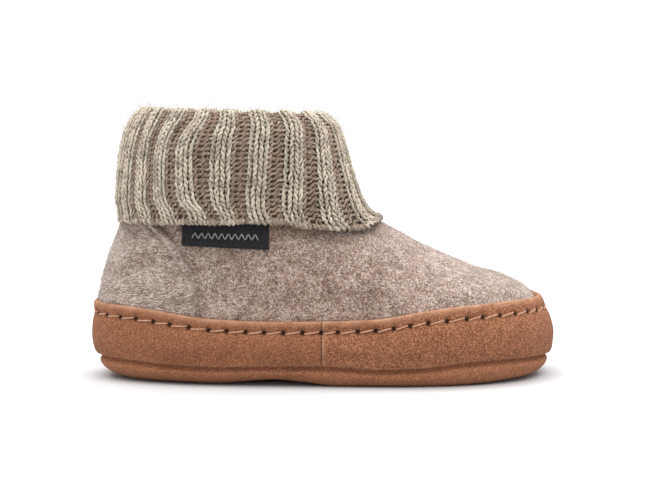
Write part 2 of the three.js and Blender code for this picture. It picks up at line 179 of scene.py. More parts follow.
class SlipperFelt(bpy.types.PropertyGroup):
    """Felt of the upper, the counter and the insole."""

    dark: colour_property("Dark wool", "Darkest fibres in the felt", 96, 82, 73)
    middle: colour_property("Middle wool", "Most of the felt", 147, 130, 119)
    pale: colour_property("Pale wool", "Palest fibres in the felt", 198, 186, 177)
    # also paints shadow under the cuff's hem, through the upper's tint mark
    warm_tone_and_hem_shadow: colour_property("Warm wool", "Tint of the warm flecks in the felt", 216, 198, 187)
    # painted shade: this colour darkens the felt under the cuff's hem and beside the counter's seam, where
    # shadow falls
    painted_deep_shade: colour_property("Deep wool", "Tint of the felt under the hem and beside the seam", 186, 170, 160)
    inside: colour_property("Insole wool", "Felt of the insole", 160, 146, 134)
    lump: length_property("Lump", "Depth of the soft lumps in the felt", 0.3)
    fibre: length_property("Fibre", "Length of the loose fibres", 2.2)
    fibre_radius: length_property("Fibre radius", "Radius of the loose fibres", 0.032)
    fibres: number_property("Fibres", "Loose fibres on each square metre of felt", 460000.0)
    seed: IntProperty(name="Seed", description="Seed of the loose fibres", default=7)


class SlipperKnit(bpy.types.PropertyGroup):
    """Yarn of the ribbed cuff."""

    pale: colour_property("Rib yarn", "Yarn on the raised ribs", 203, 193, 175)
    brown: colour_property("Furrow yarn", "Yarn in the furrows", 147, 122, 104)
    # painted shadow: a near-black cloth behind the loops that stands in for the shade in the gaps between them
    painted_gap_shadow: colour_property("Cuff backing", "Cloth behind the loops", 50, 40, 33)
    course: length_property("Course", "Height of one course of loops", 1.86)
    radius: length_property("Yarn radius", "Radius of the yarn", 0.45)
    furrow: length_property("Furrow depth", "How far the furrows lie behind the ribs", 1.5)
    weave: length_property("Loop depth", "How far the yarn passes before and behind", 0.45)
    lean: number_property("Lean", "How far the legs of a loop lean", 0.25)
    slant: number_property("Slant", "How far a purl loop climbs", 0.42)
    reach: number_property("Reach", "Half height of a loop in courses", 1.02)
    fibre: length_property("Fibre", "Length of the loose fibres", 2.4)
    fibres: number_property("Fibres", "Loose fibres on each square metre of knit", 400000.0)


class SlipperSuede(bpy.types.PropertyGroup):
    """Suede of the rand and the outsole."""

    rand: colour_property("Rand", "Suede of the rand", 125, 81, 56)
    edge: colour_property("Worn edge", "Raw and worn edges of the suede", 174, 132, 106)
    sole: colour_property("Outsole", "Suede of the outsole", 143, 95, 68)
    hole: length_property("Needle hole", "Depth of a needle hole", 0.9)


class SlipperThread(bpy.types.PropertyGroup):
    """Running stitch along the rand."""

    colour: colour_property("Thread", "Thread of the rand", 178, 136, 111)
    pitch: length_property("Stitch", "Length of one stitch", 6.6)
    radius: length_property("Thread radius", "Radius of the thread", 0.25)
    below: length_property("Below the lip", "How far the stitches lie below the rand's lip", 3.9)


class SlipperLabel(bpy.types.PropertyGroup):
    """Woven tab under the cuff."""

    colour: colour_property("Tab", "Woven tab", 22, 21, 24)
    thread: colour_property("Chevron", "Thread of the chevron row", 128, 124, 124)
    chevrons: IntProperty(name="Chevrons", description="Chevrons in the row", min=1, default=10)
    radius: length_property("Chevron radius", "Radius of the chevron thread", 0.2)


class SlipperStage(bpy.types.PropertyGroup):
    """Floor, light and camera."""

    floor: colour_property("Floor", "Pale floor", 190, 190, 190)
    sky: number_property("Sky", "Strength of the even light", 1.0)
    lamp: number_property("Lamp", "Strength of the soft light from above", 4.8)
    softness: angle_property("Softness", "Width of the soft light", 80)
    tilt: angle_property("Tilt", "How far the light comes from the front", 2)
    distance: length_property("Distance", "From the camera to the slipper", 600.0)
    eye: length_property("Eye height", "Height of the camera", 95.0)
    pitch: angle_property("Pitch", "How far the camera looks down", 4.56)
    lens: number_property("Lens", "Focal length in millimetres", 90.9)


def read_table(rows, column, places):
    """One column of a table at the given places, smooth and without overshoot."""
    keys, values = rows[:, 0], rows[:, column]
    slopes = np.diff(values) / np.diff(keys)
    before, after = slopes[:-1], slopes[1:]
    alike = before * after > 0
    total = np.where(alike, before + after, 1.0)
    tangents = np.concatenate([slopes[:1], np.where(alike, 2 * before * after / total, 0.0), slopes[-1:]])
    place = np.clip(places, keys[0], keys[-1])
    row = np.clip(np.searchsorted(keys, place, side="right") - 1, 0, len(keys) - 2)
    span = keys[row + 1] - keys[row]
    share = (place - keys[row]) / span
    rise = values[row + 1] - values[row]
    first = tangents[row] * span - rise
    second = tangents[row + 1] * span - rise
    return values[row] + rise * share + share * (1 - share) * ((1 - share) * first - share * second)


def outline(back, front, wide, half, waist, swing, full, angle):
    """Station and reach across, in millimetres, of a level section at an angle from the toe."""
    forward, sideways = np.cos(angle), np.sin(angle)
    power = 2 / (full + np.where(forward > 0, 0.0, HEEL_FULLNESS))
    share = np.abs(forward) ** power
    percent = wide + share * np.where(forward > 0, front - wide, back - wide)
    drawn = waist * np.where(sideways > 0, 1.0, WAIST_OUTER_SHARE)
    drawn = drawn * np.exp(-(((percent - WAIST_STATION) / WAIST_SPREAD) ** 2))
    swung = np.where(forward > 0, swing * share**2, 0.0)
    across = np.sign(sideways) * (half - drawn) * np.abs(sideways) ** power + swung
    return percent * LENGTH / 100, across * BALL_WIDTH / 100


def last_row(height):
    """Sizes of the last's section at a height in millimetres."""
    return [read_table(LAST_SECTIONS, column, 100 * height / COLLAR_HEIGHT) for column in range(1, 8)]


def last_skin(height, angle):
    """Points of the felt's outer face, in millimetres."""
    height, angle = np.broadcast_arrays(np.asarray(height, float), angle)
    station, across = outline(*last_row(height), angle)
    return np.stack([station - LENGTH / 2, across, height], -1)


def last_angle(height, station):
    """Angle on the inner side at which the last has that station; the outer side is its mirror."""
    back, front, wide, _, _, _, full = last_row(np.asarray(height, float))
    percent = 100 * station / LENGTH
    ahead = percent > wide
    share = np.where(ahead, (percent - wide) / (front - wide), (wide - percent) / (wide - back))
    power = 2 / (full + np.where(ahead, 0.0, HEEL_FULLNESS))
    return np.arccos(np.where(ahead, 1, -1) * np.clip(share, 0, 1) ** (1 / power))


def cuff_skin(number, angle):
    """Points of the cuff's face, in millimetres, by section number from the hem over the fold."""
    number, angle = np.broadcast_arrays(np.asarray(number, float), angle)
    row = [read_table(CUFF_SECTIONS, column, number) for column in range(1, 9)]
    heel, toe, dip, back, front, wide, half, full = row
    station, across = outline(back, front, wide, half, 0.0, 0.0, full, angle)
    percent = 100 * station / LENGTH
    level = heel + (toe - heel) * (percent - back) / (front - back)
    height = CUFF_HEIGHT / 100 * level + dip * read_table(HEM_DIPS, 1, percent)
    return np.stack([station - LENGTH / 2, across, height], -1)


def normalised(vectors):
    """Vectors of length one."""
    return vectors / np.maximum(np.linalg.norm(vectors, axis=-1, keepdims=True), 1e-12)


def skin_normal(skin, level, angle):
    """Outward directions on a skin."""
    step = 1e-4
    around = skin(level, angle + step) - skin(level, angle - step)
    upward = skin(level + step, angle) - skin(level - step, angle)
    return normalised(np.cross(around, upward))


def off_skin(skin, level, angle, distance):
    """Points at a distance from a skin."""
    distance = np.broadcast_to(distance, np.broadcast(level, angle).shape)
    return skin(level, angle) + skin_normal(skin, level, angle) * distance[..., None]


def foot_angles(count, first=0.0, last=2 * math.pi):
    """Angles that share the foot's outline at the middle of the rand into even lengths."""
    samples = np.linspace(first, last, 6001)
    lengths = row_lengths(last_skin(RAND_MIDDLE, samples)[None])[0]
    return np.interp(np.linspace(0, lengths[-1], count), lengths, samples)


def height_on(angle, line):
    """Height at which a line drawn along the foot crosses each angle."""
    height = np.full(np.shape(angle), RAND_MIDDLE)
    for _ in range(14):
        height = line(last_skin(height, angle)[..., 0] + LENGTH / 2)
    return height


def rand_line(share, extra=0.0):
    """A line along the foot at a share of the rand's height."""

    def line(station):
        low = read_table(RAND_EDGES, 1, 100 * station / LENGTH)
        high = read_table(RAND_EDGES, 2, 100 * station / LENGTH)
        return low + (high - low) * share + extra

    return line


def rand_heights(angle, share):
    """The rand's lower and upper edge at each angle, and the heights at a share between them."""
    low, high = height_on(angle, rand_line(0.0)), height_on(angle, rand_line(1.0))
    return low, high, low + (high - low) * share


def lumps(points, size, seed):
    """Soft random swelling between about -1 and 1, with bumps of about that size."""
    source = np.random.default_rng(seed)
    total = np.zeros(points.shape[:-1])
    for _ in range(10):
        way = normalised(source.normal(size=3))
        pitch = size * source.uniform(0.8, 2.0)
        total += np.sin(points @ way * (2 * math.pi / pitch) + source.uniform(0, 2 * math.pi))
    return total / 4.5


def bell(distance, width):
    """A soft bump, 1 in the middle."""
    return np.exp(-((distance / width) ** 2))


def row_lengths(points):
    """How far each point lies along its row of points."""
    steps = np.linalg.norm(np.diff(points, axis=1), axis=-1)
    return np.concatenate([np.zeros((len(points), 1)), np.cumsum(steps, axis=1)], axis=1)


def grid_faces(rows, columns, wrap_rows, wrap_columns, start=0):
    """Quads of a grid of points."""
    across = np.arange(columns if wrap_columns else columns - 1)
    down = np.arange(rows if wrap_rows else rows - 1)
    row, column = np.meshgrid(down, across, indexing="ij")
    next_row, next_column = (row + 1) % rows, (column + 1) % columns
    corners = [(row, column), (row, next_column), (next_row, next_column), (next_row, column)]
    return start + np.stack([r * columns + c for r, c in corners], -1).reshape(-1, 4)


def facing_out(points, faces):
    """The faces, turned round if the volume that they enclose comes out negative."""
    quads = np.array([face for face in faces if len(face) == 4])
    a, b, c, d = (points[quads[:, k]] for k in range(4))
    volume = np.sum(np.cross(b - a, c - a) * a) + np.sum(np.cross(c - a, d - a) * a)
    return faces if volume > 0 else [tuple(reversed(face)) for face in faces]


def put(name, data):
    """A new object in the scene."""
    made = bpy.data.objects.new(name, data)
    bpy.context.scene.collection.objects.link(made)
    return made


def hold(mesh, name, values, kind="FLOAT", field="value"):
    """Keeps a number or a vector on each point of a mesh."""
    flat = np.asarray(values, np.float32).reshape(-1)
    mesh.attributes.new(name, kind, "POINT").data.foreach_set(field, flat)


def make_piece(name, points, faces, material, marks=None):
    """A smooth mesh from points in millimetres, with named numbers on its points."""
    points = np.asarray(points, float).reshape(-1, 3)
    mesh = bpy.data.meshes.new(name)
    mesh.from_pydata((points / 1000).tolist(), [], [tuple(face) for face in faces])
    for label, values in (marks or {}).items():
        hold(mesh, label, values)
    mesh.polygons.foreach_set("use_smooth", np.ones(len(mesh.polygons), bool))
    mesh.materials.append(material)
    if mesh.validate():
        raise RuntimeError(f"{name} has faces that make no surface")
    mesh.update()
    return put(name, mesh)


def wall_piece(name, outside, inside, material, ring, marks=None):
    """A closed wall between an outer and an inner grid of points, rows running upwards."""
    points = np.concatenate([outside, inside[::-1]])
    rows, columns = points.shape[:2]
    faces = grid_faces(rows, columns, True, ring).tolist()
    if not ring:
        faces.append(list(np.arange(rows) * columns))
        faces.append(list(np.arange(rows)[::-1] * columns + columns - 1))
    points = points.reshape(-1, 3)
    spare = np.zeros(inside.shape[:2])
    marks = {label: np.concatenate([values, spare]) for label, values in (marks or {}).items()}
    return make_piece(name, points, facing_out(points, faces), material, marks)


def pad_piece(name, rings, material):
    """A closed pad from rings of points, flat across its first and last ring."""
    rows, columns = rings.shape[:2]
    faces = grid_faces(rows, columns, False, True).tolist()
    faces.append(list(range(columns))[::-1])
    faces.append(list(range((rows - 1) * columns, rows * columns)))
    points = rings.reshape(-1, 3)
    return make_piece(name, points, facing_out(points, faces), material)


def settle(piece, slot, *nodes):
    """Puts a finished piece on the slipper's one body in place of CAD nodes, which it hides; its slot is not
    used.
    """
    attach(piece, "root")
    if nodes:
        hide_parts(*nodes)
    return piece


def named(sockets, name):
    """The socket in use under a name."""
    return next(socket for socket in sockets if socket.name == name and socket.enabled)


def add_node(tree, kind, inputs=None, **settings):
    """Adds a node, sets it up, and links or fills its inputs."""
    made = tree.nodes.new(kind)
    for setting, value in settings.items():
        setattr(made, setting, value)
    for name, value in (inputs or {}).items():
        socket = named(made.inputs, name)
        if isinstance(value, bpy.types.NodeSocket):
            tree.links.new(value, socket)
        else:
            socket.default_value = value
    return made


def start_material(name, roughness, sheen):
    """A material with its shader's plain numbers set."""
    material = bpy.data.materials.new(name)
    material.use_nodes = True
    shader = material.node_tree.nodes["Principled BSDF"]
    shader.inputs["Roughness"].default_value = roughness
    shader.inputs["Sheen Weight"].default_value = sheen
    shader.inputs["Sheen Roughness"].default_value = 0.6
    shader.inputs["Specular IOR Level"].default_value = 0.12
    return material, material.node_tree, shader


def object_place(tree, stretch=(1.0, 1.0, 1.0)):
    """Object coordinates, stretched."""
    place = add_node(tree, "ShaderNodeTexCoord").outputs["Object"]
    return add_node(tree, "ShaderNodeMapping", {"Vector": place, "Scale": stretch}).outputs["Vector"]


def noise(tree, place, scale, detail=2.0):
    """Noise between 0 and 1."""
    inputs = {"Vector": place, "Scale": scale, "Detail": detail, "Roughness": 0.6}
    return named(add_node(tree, "ShaderNodeTexNoise", inputs).outputs, "Fac")


def weigh(tree, parts):
    """Sum of sockets times weights."""
    total = None
    for socket, weight in parts:
        made = add_node(tree, "ShaderNodeMath", operation="MULTIPLY_ADD")
        tree.links.new(socket, made.inputs[0])
        made.inputs[1].default_value = weight
        made.inputs[2].default_value = 0.0
        if total is not None:
            tree.links.new(total, made.inputs[2])
        total = made.outputs[0]
    return total


def spread(tree, socket, low, high, start=0.0, end=1.0):
    """A socket's span from low to high, brought to start to end."""
    inputs = {"Value": socket, "From Min": low, "From Max": high, "To Min": start, "To Max": end}
    return named(add_node(tree, "ShaderNodeMapRange", inputs, clamp=True).outputs, "Result")


def solid(colour):
    """A socket as it is, or a plain colour made opaque."""
    return colour if isinstance(colour, bpy.types.NodeSocket) else (*colour[:3], 1.0)


def mix(tree, factor, first, second, blend="MIX"):
    """One colour over another."""
    inputs = {"Factor": factor, "A": solid(first), "B": solid(second)}
    node = add_node(tree, "ShaderNodeMix", inputs, data_type="RGBA", blend_type=blend)
    return named(node.outputs, "Result")


def ramp(tree, factor, stops):
    """A colour read along a row of stops."""
    node = add_node(tree, "ShaderNodeValToRGB", {"Fac": factor})
    stops_there = node.color_ramp.elements
    while len(stops_there) < len(stops):
        stops_there.new(0.5)
    for there, (place, colour) in zip(stops_there, stops):
        there.position = place
        there.color = solid(colour)
    return node.outputs["Color"]


def mark(tree, name):
    """A number held on the points of the mesh."""
    return add_node(tree, "ShaderNodeAttribute", attribute_name=name).outputs["Fac"]


def finish_material(tree, shader, colour, relief, depth, strength):
    """Links colour and bump to the shader."""
    tree.links.new(colour, shader.inputs["Base Color"])
    inputs = {"Height": relief, "Distance": depth, "Strength": strength}
    bump = add_node(tree, "ShaderNodeBump", inputs)
    tree.links.new(bump.outputs["Normal"], shader.inputs["Normal"])


def felt_material(name, felt, stretch):
    """Heathered felt: fibres from dark to pale, with warm patches, a warmer, darker tint low on the sides, and
    painted shadow under the cuff's hem and beside the counter's seam, where a piece carries those marks.
    """
    material, tree, shader = start_material(name, 0.96, 0.18)
    place = object_place(tree, stretch)
    patches = noise(tree, place, 110.0)
    tufts = noise(tree, place, 850.0, 2.0)
    grain = noise(tree, place, 2100.0, 1.0)
    blend = weigh(tree, [(patches, 0.16), (tufts, 0.3), (grain, 0.54)])
    colour = ramp(tree, blend, [(0.4, felt.dark), (0.5, felt.middle), (0.6, felt.pale)])
    flecks = spread(tree, noise(tree, object_place(tree), 330.0, 3.0), 0.4, 0.64, 0.0, 0.6)
    # warm flecks, plus the upper's tint: warmer, darker felt low on the sides and painted shadow under the
    # cuff's hem
    warmth_and_hem_shadow = weigh(tree, [(flecks, 1.0), (mark(tree, "side_tint_and_hem_shadow"), 0.5)])
    colour = mix(tree, warmth_and_hem_shadow, colour, felt.warm_tone_and_hem_shadow, "MULTIPLY")
    # painted shade under the cuff's hem and beside the counter's seam
    colour = mix(tree, mark(tree, "shade"), colour, felt.painted_deep_shade, "MULTIPLY")
    relief = weigh(tree, [(tufts, 0.6), (grain, 0.4)])
    finish_material(tree, shader, colour, relief, 0.0009, 0.7)
    return material


def suede_material(name, base, edge, nap):
    """Suede: mottled, with a fine nap, pale worn edges, and painted shade in the needle holes and along the
    rand's join.
    """
    material, tree, shader = start_material(name, 0.93, 0.02)
    place = object_place(tree)
    clouds = noise(tree, place, 60.0, 3.0)
    mottle = noise(tree, place, 700.0, 2.0)
    fine = noise(tree, place, 2300.0, 1.0)
    blend = weigh(tree, [(clouds, 0.12), (mottle, 0.16), (fine, 0.72)])
    darker = tuple(value * (1 - (0.4 + 0.06 * k) * nap) for k, value in enumerate(base))
    paler = tuple(min(1.0, value * (1 + nap) + 0.03 * nap) for value in base)
    colour = ramp(tree, blend, [(0.41, darker), (0.5, base), (0.59, paler)])
    colour = mix(tree, mark(tree, "worn"), colour, edge)
    # painted shade in the needle holes and along the join
    colour = mix(tree, mark(tree, "painted_shade_in_holes_and_join"), colour, tuple(value * 0.12 for value in base))
    relief = weigh(tree, [(mottle, 0.4), (fine, 0.6)])
    finish_material(tree, shader, colour, relief, 0.0008, nap)
    return material


def yarn_material(knit):
    """Two-tone woollen yarn with random tufts, painted shade where it lies deep and painted highlight where it
    stands out.
    """
    material, tree, shader = start_material("knit_yarn", 0.95, 0.2)
    place = object_place(tree)
    tufts = noise(tree, place, 1300.0, 3.0)
    clouds = noise(tree, place, 120.0, 3.0)
    colour = mix(tree, mark(tree, "rib"), knit.brown, knit.pale)
    # random tufts, with painted shade on loops lying deep and painted highlight on loops standing out
    shade = weigh(tree, [(mark(tree, "shade"), 1.0), (tufts, 0.96), (clouds, 0.14)])
    painted_deep_shade, middle, raised = (0.3, 0.27, 0.24), (0.82, 0.81, 0.8), (1.24, 1.22, 1.2)
    grey = ramp(tree, shade, [(0.25, painted_deep_shade), (0.55, middle), (0.9, raised)])
    colour = mix(tree, 1.0, colour, grey, "MULTIPLY")
    finish_material(tree, shader, colour, tufts, 0.0004, 0.6)
    return material


def plain_material(name, base, roughness, change=0.18, scale=700.0):
    """One colour with a little change and grain."""
    material, tree, shader = start_material(name, roughness, 0.1)
    grain = noise(tree, object_place(tree), scale, 3.0)
    darker = tuple(value * (1 - change) for value in base)
    paler = tuple(min(1.0, value * (1 + change)) for value in base)
    colour = ramp(tree, grain, [(0.35, darker), (0.65, paler)])
    finish_material(tree, shader, colour, grain, 0.0003, 0.4)
    return material


def fibre_material(name, dark, pale):
    """Loose fibres, each of its own shade."""
    material, tree, shader = start_material(name, 0.9, 0.1)
    colour = ramp(tree, mark(tree, "shade"), [(0.0, dark), (1.0, pale)])
    tree.links.new(colour, shader.inputs["Base Color"])
    return material


def new_tree(name, sockets):
    """A geometry node tree with named inputs."""
    tree = bpy.data.node_groups.new(name, "GeometryNodeTree")
    tree.interface.new_socket("Geometry", in_out="OUTPUT", socket_type="NodeSocketGeometry")
    tree.interface.new_socket("Geometry", in_out="INPUT", socket_type="NodeSocketGeometry")
    for label, kind in sockets.items():
        tree.interface.new_socket(label, in_out="INPUT", socket_type=f"NodeSocket{kind}")
    return tree, tree.nodes.new("NodeGroupInput"), tree.nodes.new("NodeGroupOutput")


def close_tree(tree, source, target, instances):
    """Realizes the instances, gives them their material and ends the tree."""
    real = add_node(tree, "GeometryNodeRealizeInstances", {"Geometry": instances})
    inputs = {"Geometry": real.outputs["Geometry"], "Material": source.outputs["Material"]}
    dressed = add_node(tree, "GeometryNodeSetMaterial", inputs)
    smooth = add_node(tree, "GeometryNodeSetShadeSmooth", {"Geometry": dressed.outputs["Geometry"]})
    tree.links.new(smooth.outputs["Geometry"], target.inputs["Geometry"])
    return tree


def thread_shape(tree, radius, sides, length_steps, middle, end, start=(0.0, 0.0, 0.0)):
    """A short bent tube."""
    inputs = {"Resolution": length_steps, "Start": start, "Middle": middle, "End": end}
    line = add_node(tree, "GeometryNodeCurveQuadraticBezier", inputs)
    ring = add_node(tree, "GeometryNodeCurvePrimitiveCircle", {"Resolution": sides, "Radius": radius})
    inputs = {"Curve": line.outputs["Curve"], "Profile Curve": ring.outputs["Curve"], "Fill Caps": True}
    return add_node(tree, "GeometryNodeCurveToMesh", inputs).outputs["Mesh"]


def held(tree, name, kind):
    """A value held on each point."""
    node = add_node(tree, "GeometryNodeInputNamedAttribute", {"Name": name}, data_type=kind)
    return named(node.outputs, "Attribute")


def random_value(tree, low, high, seed):
    """A random number for each point."""
    inputs = {"Min": low, "Max": high, "Seed": seed}
    return named(add_node(tree, "FunctionNodeRandomValue", inputs, data_type="FLOAT").outputs, "Value")


def stitch_tree():
    """Threads laid on points that say where they run, which way is out and how long they are."""
    sockets = {"Thread Radius": "Float", "Material": "Material"}
    tree, source, target = new_tree("slipper_stitches", sockets)
    start, middle, end = (-0.5, 0.0, -0.0004), (0.0, 0.0, 0.0011), (0.5, 0.0, -0.0004)
    shape = thread_shape(tree, source.outputs["Thread Radius"], 8, 8, middle, end, start)
    inputs = {"Vector": held(tree, "along", "FLOAT_VECTOR")}
    first = add_node(tree, "FunctionNodeAlignRotationToVector", inputs, axis="X")
    inputs = {"Rotation": first.outputs["Rotation"], "Vector": held(tree, "out", "FLOAT_VECTOR")}
    turned = add_node(tree, "FunctionNodeAlignRotationToVector", inputs, axis="Z", pivot_axis="X")
    inputs = {"X": held(tree, "reach", "FLOAT"), "Y": 1.0, "Z": 1.0}
    scale = add_node(tree, "ShaderNodeCombineXYZ", inputs)
    inputs = {
        "Points": source.outputs["Geometry"],
        "Instance": shape,
        "Rotation": turned.outputs["Rotation"],
        "Scale": scale.outputs["Vector"],
    }
    laid = add_node(tree, "GeometryNodeInstanceOnPoints", inputs)
    return close_tree(tree, source, target, laid.outputs["Instances"])


def fibre_tree():
    """Short bent fibres scattered over a surface, leaning every way."""
    sockets = dict.fromkeys(("Density", "Length", "Slimness", "Lean"), "Float")
    sockets.update({"Seed": "Int", "Material": "Material"})
    tree, source, target = new_tree("slipper_fibres", sockets)
    inputs = {name: source.outputs[name] for name in ("Density", "Seed")}
    inputs["Mesh"] = source.outputs["Geometry"]
    strewn = add_node(tree, "GeometryNodeDistributePointsOnFaces", inputs)
    shape = thread_shape(tree, source.outputs["Slimness"], 3, 2, (0.0, -0.22, 0.5), (0.18, 0.1, 1.0))
    tilt = random_value(tree, 0.5, source.outputs["Lean"], source.outputs["Seed"])
    inputs = {"X": tilt, "Z": random_value(tree, 0.0, 6.283, 3)}
    turn = add_node(tree, "ShaderNodeCombineXYZ", inputs)
    lean = add_node(tree, "FunctionNodeEulerToRotation", {"Euler": turn.outputs["Vector"]})
    inputs = {"Rotation": strewn.outputs["Rotation"], "Rotate By": lean.outputs["Rotation"]}
    turned = add_node(tree, "FunctionNodeRotateRotation", inputs, rotation_space="LOCAL")
    size = add_node(tree, "ShaderNodeMath", operation="MULTIPLY")
    tree.links.new(random_value(tree, 0.35, 1.0, 5), size.inputs[0])
    tree.links.new(source.outputs["Length"], size.inputs[1])
    inputs = {
        "Points": strewn.outputs["Points"],
        "Instance": shape,
        "Rotation": turned.outputs["Rotation"],
        "Scale": size.outputs[0],
    }
    laid = add_node(tree, "GeometryNodeInstanceOnPoints", inputs)
    shade = random_value(tree, 0.0, 1.0, 9)
    inputs = {"Geometry": laid.outputs["Instances"], "Name": "shade", "Value": shade}
    stored = add_node(tree, "GeometryNodeStoreNamedAttribute", inputs, data_type="FLOAT", domain="INSTANCE")
    return close_tree(tree, source, target, stored.outputs["Geometry"])


def grow(piece, tree, values):
    """Runs a node tree on a piece and keeps the plain mesh that comes out."""
    modifier = piece.modifiers.new("Growth", "NODES")
    modifier.node_group = tree
    for item in tree.interface.items_tree:
        if item.in_out == "INPUT" and item.name in values:
            modifier[item.identifier] = values[item.name]
    graph = bpy.context.evaluated_depsgraph_get()
    mesh = bpy.data.meshes.new_from_object(piece.evaluated_get(graph))
    piece.modifiers.clear()
    piece.data = mesh
    if not len(mesh.polygons):
        raise RuntimeError(f"{piece.name} grew nothing")
    return piece


def point_cloud(name, centres, spans, out):
    """Loose points, in millimetres, that a stitch tree lays threads on, each as long as its span."""
    mesh = bpy.data.meshes.new(name)
    mesh.from_pydata((centres / 1000).tolist(), [], [])
    hold(mesh, "along", normalised(spans), "FLOAT_VECTOR", "vector")
    hold(mesh, "out", out, "FLOAT_VECTOR", "vector")
    hold(mesh, "reach", np.linalg.norm(spans, axis=1).astype(np.float32) / 1000)
    return put(name, mesh)


def felt_face(height, angle, felt):
    """The felt's lumpy outer face."""
    skin = last_skin(height, angle)
    swell = lumps(skin, 13.0, 11) + 0.5 * lumps(skin, 5.5, 12) + 0.25 * lumps(skin, 2.6, 13)
    return off_skin(last_skin, height, angle, 1000 * felt.lump * swell)


class SLIPPER_OT_upper(bpy.types.Operator):
    """Felt upper: one lumpy hollow wall from the sole to the collar"""

    bl_idname = "slipper.upper"
    bl_label = "Upper"

    def execute(self, context):
        felt = context.scene.slipper_felt
        angle = foot_angles(361)[None, :-1]
        foot = height_on(angle, rand_line(0.0, SOLE_HIDDEN + GAP))
        outer, inner = (foot + (COLLAR_HEIGHT - foot) * np.linspace(0, 1, rows)[:, None] for rows in (86, 22))
        outside = felt_face(outer, angle, felt)
        inside = off_skin(last_skin, inner, angle, -FELT_WALL)
        inside = inside - normalised(inside * (1, 1, 0)) * 0.2 * lumps(inside, 9.0, 14)[..., None]
        material = felt_material("felt_upper", felt, (1.0, 1.0, 1.15))
        along, height = outside[..., 0], outside[..., 2]
        # first term: warmer, darker felt low on the middle of the sides; second term: painted shadow under the
        # cuff's hem
        side_tint_and_hem_shadow = bell(along, 48.0) * bell(np.maximum(height - 36.0, 0), 16.0)
        side_tint_and_hem_shadow = side_tint_and_hem_shadow + (0.5 + bell(along + 4.0, 30.0)) * bell(height - HEM_LEVEL + 2.0, 5.0)
        rise = np.clip((height - COUNTER_FOOT) / (COUNTER_TOP - COUNTER_FOOT), 0, 1)
        ahead = along + LENGTH / 2 - read_table(COUNTER_EDGE, 1, rise)
        # painted shadow under the cuff's hem, then a painted shadow line beside the counter's seam
        shade = 0.45 * bell(np.minimum(height - HEM_LEVEL, 0), 4.0)
        shade = shade + (0.15 + 0.35 * rise) * bell(ahead - 0.6, 1.3)
        marks = {"side_tint_and_hem_shadow": side_tint_and_hem_shadow, "shade": shade}
        settle(wall_piece("upper_felt", outside, inside, material, True, marks), "upper_felt", "upper")
        return {"FINISHED"}


class SLIPPER_OT_counter(bpy.types.Operator):
    """Felt heel counter with its front edge as a raised seam"""

    bl_idname = "slipper.counter"
    bl_label = "Heel counter"

    def execute(self, context):
        felt = context.scene.slipper_felt
        share = np.linspace(0, 1, 54)[:, None]
        edge = read_table(COUNTER_EDGE, 1, share)

        def line(station):
            return rand_line(1.0, -0.8)(station) * (1 - share) + COUNTER_TOP * share

        half = math.pi - last_angle(line(edge), edge)
        angle = math.pi + half * np.linspace(-1, 1, 221)[None, :]
        height = height_on(angle, line)
        along = row_lengths(last_skin(height, angle))
        inset = np.minimum(along, along[:, -1:] - along)
        wall = COUNTER_WALL * np.sqrt(np.clip(inset / 1.2, 0, 1)) * np.clip(0.5 + 6 * share, 0, 1)
        seam = (1.3 * bell(inset - 1.6, 1.2) - 0.55 * bell(inset - 4.3, 1.1)) * np.clip(12 * share, 0, 1)
        skin = last_skin(height, angle)
        swell = 0.2 * lumps(skin, 12.0, 21) + 0.1 * lumps(skin * (1, 1, 2.6), 5.0, 22)
        outside = off_skin(last_skin, height, angle, 0.2 + wall + seam + swell)
        inside = off_skin(last_skin, height, angle, 0.02)[::6]
        material = felt_material("felt_counter", felt, (0.55, 0.55, 2.0))
        settle(wall_piece("counter_felt", outside, inside, material, False), "counter_felt", "heel_counter")
        return {"FINISHED"}


def stitch_places(thread):
    """Needle holes along the whole rand, as angles at mid height, from the join on the outer side."""
    around = np.linspace(0, 2 * math.pi, 8001)
    places = last_skin(RAND_MIDDLE, around)
    lengths = row_lengths(places[None])[0]
    join = 2 * math.pi - last_angle(RAND_MIDDLE, RAND_JOIN * LENGTH / 100)
    start = np.interp(join, around, lengths)
    count = round(lengths[-1] / (1000 * thread.pitch))
    source = np.random.default_rng(31)
    steps = np.arange(count) + source.uniform(-0.06, 0.06, count)
    steps[0] = 0.05
    return np.sort((start + steps * lengths[-1] / count) % lengths[-1]), lengths, around


def needle_holes(thread):
    """Points of the needle holes on the rand's face."""
    holes, lengths, around = stitch_places(thread)
    angle = np.interp(holes, lengths, around)
    return off_skin(last_skin, height_on(angle, rand_line(1.0, -1000 * thread.below)), angle, HOLE_REACH)


